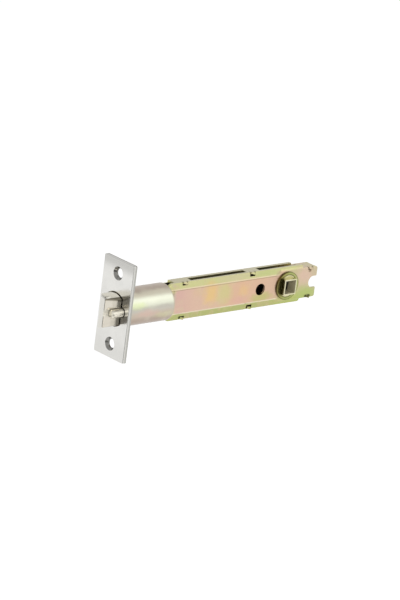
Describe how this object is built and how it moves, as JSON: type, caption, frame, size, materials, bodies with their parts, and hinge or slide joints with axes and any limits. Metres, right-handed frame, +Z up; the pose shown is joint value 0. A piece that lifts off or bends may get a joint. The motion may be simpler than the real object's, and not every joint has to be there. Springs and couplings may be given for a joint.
{
  "type": "tubular door latch",
  "caption": "Tubular dead latch with a long backset: D bolt with guard plunger, screw faceplate, round barrel, pressed flat case and a square-hole hub that draws the bolt.",
  "frame": {"origin": "centre of the faceplate's front face, on the latch axis", "axes": "+X rearwards along the latch into the door, +Z up the faceplate, -Y towards the bolt's flat side with the guard plunger"},
  "size_m": [0.1613, 0.0254, 0.0572],
  "materials": {
    "stainless": "satin",
    "bolt_nickel": "satin",
    "plated_steel": "satin",
    "spring_steel": "satin",
    "barrel_zinc": "satin yellow zinc",
    "case_zinc": "satin yellow zinc",
    "hub_zinc": "satin yellow zinc",
    "bush_zinc": "satin yellow zinc"
  },
  "bodies": {
    "case": {"faceplate": "stainless", "backing_plate": "plated_steel", "barrel": "barrel_zinc", "barrel_plug": "plated_steel", "near_case_half": "case_zinc", "far_case_half": "case_zinc", "hub_bush_near": "bush_zinc", "hub_bush_far": "bush_zinc", "pawl_pivot": "case_zinc", "bolt_spring": "spring_steel", "plunger_spring": "spring_steel"},
    "bolt": {"latch_bolt": "bolt_nickel", "drawbar": "plated_steel", "drawbar_pins": "plated_steel"},
    "hub": {"hub": "hub_zinc"},
    "plunger": {"deadlatch_plunger": "bolt_nickel", "plunger_tail": "plated_steel", "plunger_tail_pin": "plated_steel"},
    "pawl": {"locking_pawl": "plated_steel", "pawl_stud": "plated_steel"}
  },
  "joints": [
    {"name": "latch_slide", "type": "slide", "parent": "case", "child": "bolt", "axis": [1, 0, 0], "range_m": [0, 0.012], "stiffness_N_per_m": 250, "springref_m": -0.012, "deforming": ["bolt_spring"]},
    {"name": "hub_turn", "type": "hinge", "parent": "case", "child": "hub", "pos_m": [0.127, 0, 0], "axis": [0, 1, 0], "range_deg": [0, 82.1]},
    {"name": "plunger_slide", "type": "slide", "parent": "case", "child": "plunger", "axis": [1, 0, 0], "range_m": [0, 0.0078], "stiffness_N_per_m": 120, "springref_m": -0.01, "deforming": ["plunger_spring"]},
    {"name": "pawl_swing", "type": "hinge", "parent": "case", "child": "pawl", "pos_m": [0.07, 0, 0.0068], "axis": [0, -1, 0], "range_deg": [0, 5.74]}
  ],
  "couplings": [
    {"joint": "hub_turn", "follows": "latch_slide", "rad_per_m": 119.2},
    {"joint": "pawl_swing", "follows": "plunger_slide", "rad_per_m": 12.84}
  ]
}
